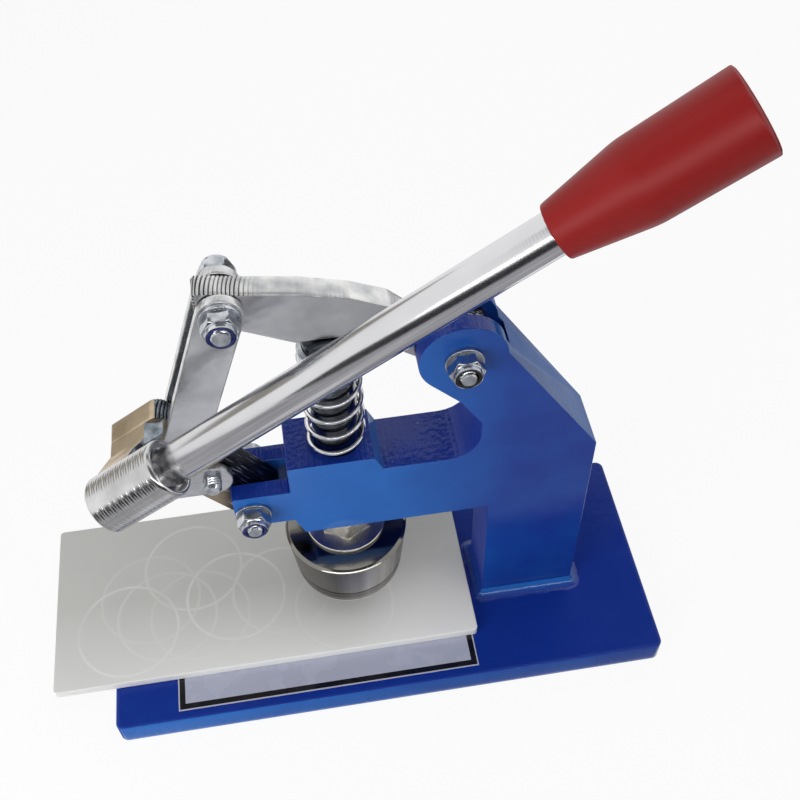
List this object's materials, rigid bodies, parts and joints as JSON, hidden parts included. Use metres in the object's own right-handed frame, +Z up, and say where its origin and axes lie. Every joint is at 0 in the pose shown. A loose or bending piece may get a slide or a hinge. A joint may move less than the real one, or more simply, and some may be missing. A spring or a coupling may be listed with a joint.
{
  "type": "fabric sample cutter",
  "caption": "Hand toggle press on a flat base: a lever with a gripped handle pulls hook links and a press arm down on a sprung ram with a round knife over a board.",
  "frame": {"origin": "centre of the base plate's underside", "axes": "+X towards the column, +Y to the back, away from the handle, +Z up"},
  "size_m": [0.3045, 0.117, 0.3351],
  "materials": {
    "blue_enamel": "glossy",
    "frame_enamel": "glossy",
    "black_print": "satin",
    "white_film": "satin",
    "red_plastic": "satin",
    "chrome": "polished",
    "white_plastic": "matte",
    "black_rubber": "matte",
    "blue_nylon": "satin",
    "black_nylon": "satin",
    "ground_steel": "turned",
    "dark_steel": "satin",
    "spring_steel": "satin",
    "zinc_steel": "zinc plated"
  },
  "bodies": {
    "frame": {"base_plate": "blue_enamel", "label_border": "black_print", "label_sheet": "white_film", "frame_block": "frame_enamel", "foot_weld": "frame_enamel", "fork_bolt": "zinc_steel", "fork_washers": "zinc_steel", "fork_nut": "zinc_steel", "fork_nut_insert": "blue_nylon", "ear_bolt": "zinc_steel", "ear_washers": "zinc_steel", "ear_nut": "zinc_steel", "ear_nut_insert": "black_nylon"},
    "lever": {"lever_plate": "zinc_steel", "hub_stem": "zinc_steel", "handle_socket": "zinc_steel", "handle_rod": "chrome", "handle_grip": "red_plastic"},
    "links": {"link_near": "zinc_steel", "link_far": "zinc_steel", "link_foot_bolt": "zinc_steel", "link_studs": "zinc_steel", "link_washers": "zinc_steel", "link_nuts": "zinc_steel", "link_nut_inserts": "blue_nylon"},
    "arm": {"press_arm": "zinc_steel", "arm_end_pin": "zinc_steel"},
    "ram": {"ram": "chrome", "spring_cap": "zinc_steel", "cap_clip": "dark_steel", "return_spring": "spring_steel", "cutter_nut": "zinc_steel", "cutter_washer": "dark_steel", "cutter_head": "ground_steel", "ejector_pad": "black_rubber"},
    "board": {"cutting_board": "white_plastic"}
  },
  "joints": [
    {"name": "lever_swing", "type": "hinge", "parent": "frame", "child": "lever", "pos_m": [-0.0545, 0, 0.1169], "axis": [0, -1, 0], "range_deg": [0, 120]},
    {"name": "link_swing", "type": "hinge", "parent": "lever", "child": "links", "pos_m": [-0.06928, 0, 0.13865], "axis": [0, -1, 0], "range_deg": [-114.4, 0]},
    {"name": "arm_swing", "type": "hinge", "parent": "frame", "child": "arm", "pos_m": [0.0385, 0, 0.2013], "axis": [0, -1, 0], "range_deg": [0, 26.63]},
    {"name": "ram_slide", "type": "slide", "parent": "frame", "child": "ram", "axis": [0, 0, -1], "range_m": [0, 0.02681], "stiffness_N_per_m": 1500, "springref_m": -0.008, "deforming": ["return_spring"]},
    {"name": "board_slide", "type": "slide", "parent": "frame", "child": "board", "axis": [-1, 0, 0], "range_m": [0, 0.09]}
  ],
  "couplings": [
    {"joint": "link_swing", "follows": "lever_swing", "ratio": -0.95324},
    {"joint": "arm_swing", "follows": "lever_swing", "ratio": 0.22185},
    {"joint": "ram_slide", "follows": "lever_swing", "m_per_rad": 0.012796}
  ]
}
